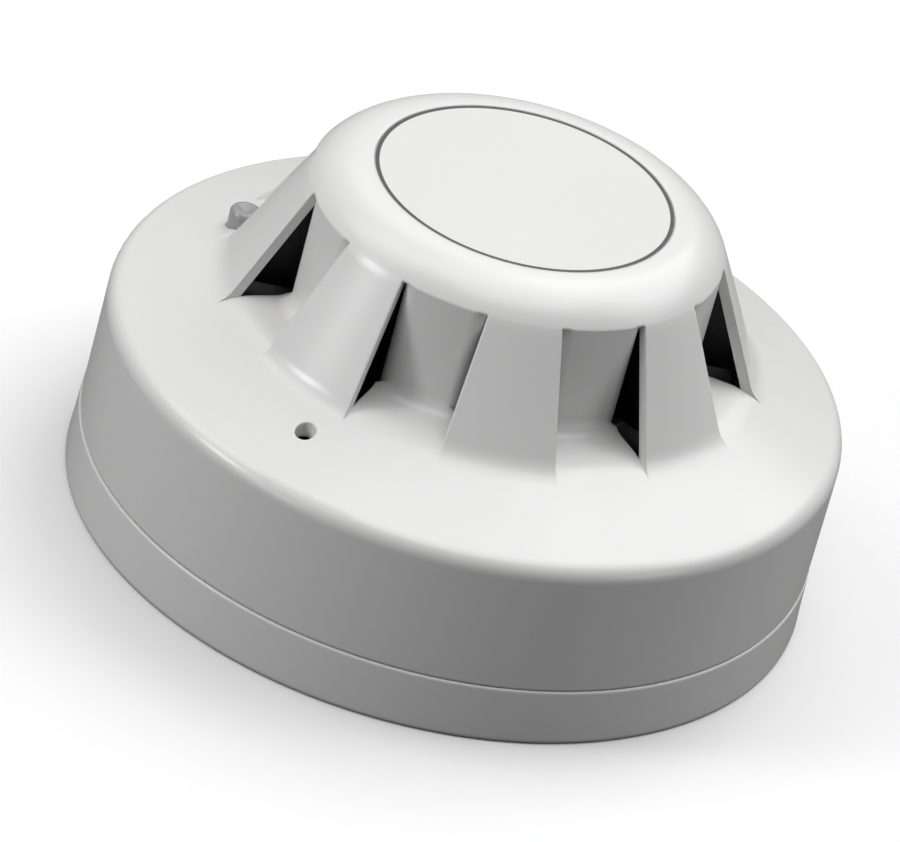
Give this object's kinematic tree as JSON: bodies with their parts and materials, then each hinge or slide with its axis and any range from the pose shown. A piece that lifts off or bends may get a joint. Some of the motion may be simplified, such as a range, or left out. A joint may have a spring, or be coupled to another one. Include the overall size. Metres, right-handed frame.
{
  "type": "heat detector",
  "caption": "Round white ceiling heat detector: a louvred domed head with an indicator light, twisted onto a round surface mounting base and held by a lock screw.",
  "frame": {"origin": "centre of the base's mounting face", "axes": "+Z from the mounting face to the dome, X along the row of the two fixing slots"},
  "size_m": [0.1, 0.1, 0.0524],
  "materials": {
    "white_moulding": "semi-gloss white polycarbonate",
    "printed_label": "satin printed film",
    "clear_plastic": "clear acrylic light pipe",
    "zinc_steel": "bright zinc plate",
    "brass": "turned",
    "tinned_metal": "stainless spring strip",
    "circuit_laminate": "solder-masked glass-fibre laminate",
    "black_package": "moulded epoxy",
    "capacitor_sleeve": "shrunk sleeve",
    "resistor_body": "lacquer",
    "reed_glass": "polished",
    "led_epoxy": "polished epoxy",
    "black_moulding": "fine matt moulding",
    "bead_glass": "glass-coated bead"
  },
  "bodies": {
    "mounting_base": {"base_body": "white_moulding", "terminal_l1_in": "tinned_metal", "terminal_l2": "tinned_metal", "terminal_l1_out": "tinned_metal", "terminal_remote": "tinned_metal", "clamp_washers": "zinc_steel", "terminal_screws": "zinc_steel", "earth_terminal": "tinned_metal"},
    "detector_head": {"alarm_transistor": "black_package", "board_screws": "zinc_steel", "bridge_rectifier": "black_package", "chamber_floor": "black_moulding", "circuit_board": "circuit_laminate", "contact_l1_in": "tinned_metal", "contact_l1_out": "tinned_metal", "contact_l2": "tinned_metal", "contact_pins": "tinned_metal", "contact_remote": "tinned_metal", "control_circuit": "black_package", "cover_screws": "zinc_steel", "head_chassis": "white_moulding", "indicator_led": "led_epoxy", "indicator_lens": "clear_plastic", "insect_screen": "black_moulding", "label_disc": "printed_label", "lock_screw_insert": "brass", "outer_cover": "white_moulding", "reed_switch": "reed_glass", "reference_thermistor": "bead_glass", "resistors": "resistor_body", "sensing_thermistor": "bead_glass", "smoothing_capacitor": "capacitor_sleeve", "surge_suppressor": "black_package", "thermistor_holder": "black_moulding", "thermistor_leads": "tinned_metal", "timing_capacitor": "capacitor_sleeve"},
    "lock_screw": {"lock_screw": "zinc_steel"}
  },
  "joints": [
    {"name": "head_twist", "type": "hinge", "parent": "mounting_base", "child": "detector_head", "pos_m": [0, 0, 0.0081], "axis": [0, 0, 1], "range_deg": [0, 15]},
    {"name": "lock_screw_travel", "type": "slide", "parent": "detector_head", "child": "lock_screw", "axis": [0, 0, -1], "range_m": [0, 0.003]}
  ]
}
